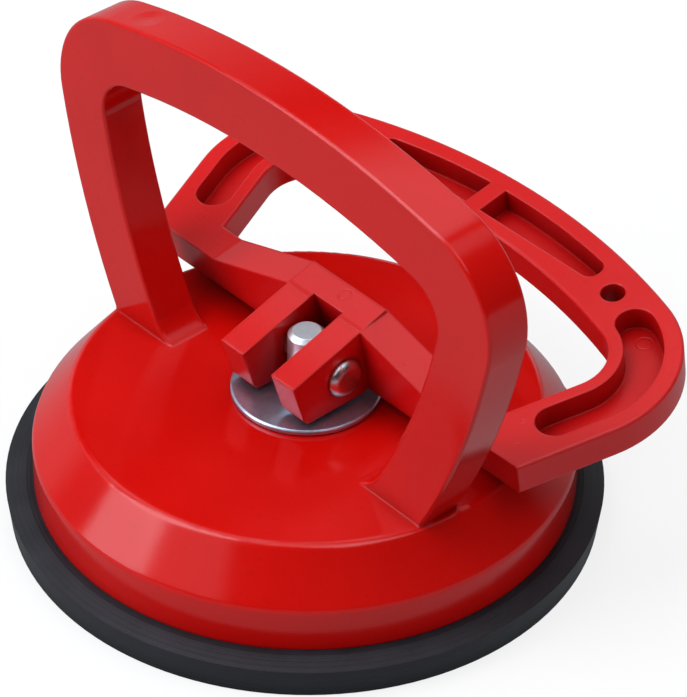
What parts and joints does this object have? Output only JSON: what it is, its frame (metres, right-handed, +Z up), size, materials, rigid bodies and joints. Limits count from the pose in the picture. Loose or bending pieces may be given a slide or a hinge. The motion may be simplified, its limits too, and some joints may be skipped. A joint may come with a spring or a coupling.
{
  "type": "suction lifter",
  "caption": "Single-cup suction lifter with a fixed carrying handle and a cam lever that pulls the middle of the rubber pad up under a plastic dome.",
  "frame": {"origin": "centre of the rubber pad's underside, on the surface it rests on", "axes": "+Z up along the stud, +X along the pivot pin towards its head, +Y towards the ring end of the lowered lever"},
  "size_m": [0.1224, 0.1227, 0.1009],
  "materials": {
    "housing_plastic": "moulded, glossy red",
    "lever_plastic": "moulded, glossy red",
    "pad_rubber": "smooth matte black rubber",
    "washer_steel": "dark polished washer",
    "stud_steel": "zinc-plated, turned",
    "plate_steel": "plain pressed steel",
    "spring_steel": "drawn wire",
    "pin_steel": "zinc-plated, smooth head",
    "cap_steel": "zinc-plated push-on cap"
  },
  "bodies": {
    "housing_body": {"housing": "housing_plastic", "cam_washer": "washer_steel", "suction_pad": "pad_rubber", "return_spring": "spring_steel"},
    "lift_body": {"lift_stud": "stud_steel", "pad_backing_plate": "plate_steel", "pivot_pin": "pin_steel", "pin_retaining_clip": "cap_steel"},
    "lever_body": {"cam_lever": "lever_plastic"}
  },
  "joints": [
    {"name": "stud_lift", "type": "slide", "parent": "housing_body", "child": "lift_body", "axis": [0, 0, 1], "range_m": [0, 0.0064], "deforming": ["return_spring"]},
    {"name": "lever_turn", "type": "hinge", "parent": "lift_body", "child": "lever_body", "pos_m": [0, 0, 0.036], "axis": [1, 0, 0], "range_deg": [0, 72.6]}
  ],
  "couplings": [
    {"joint": "stud_lift", "follows": "lever_turn", "m_per_rad": 0.005}
  ]
}
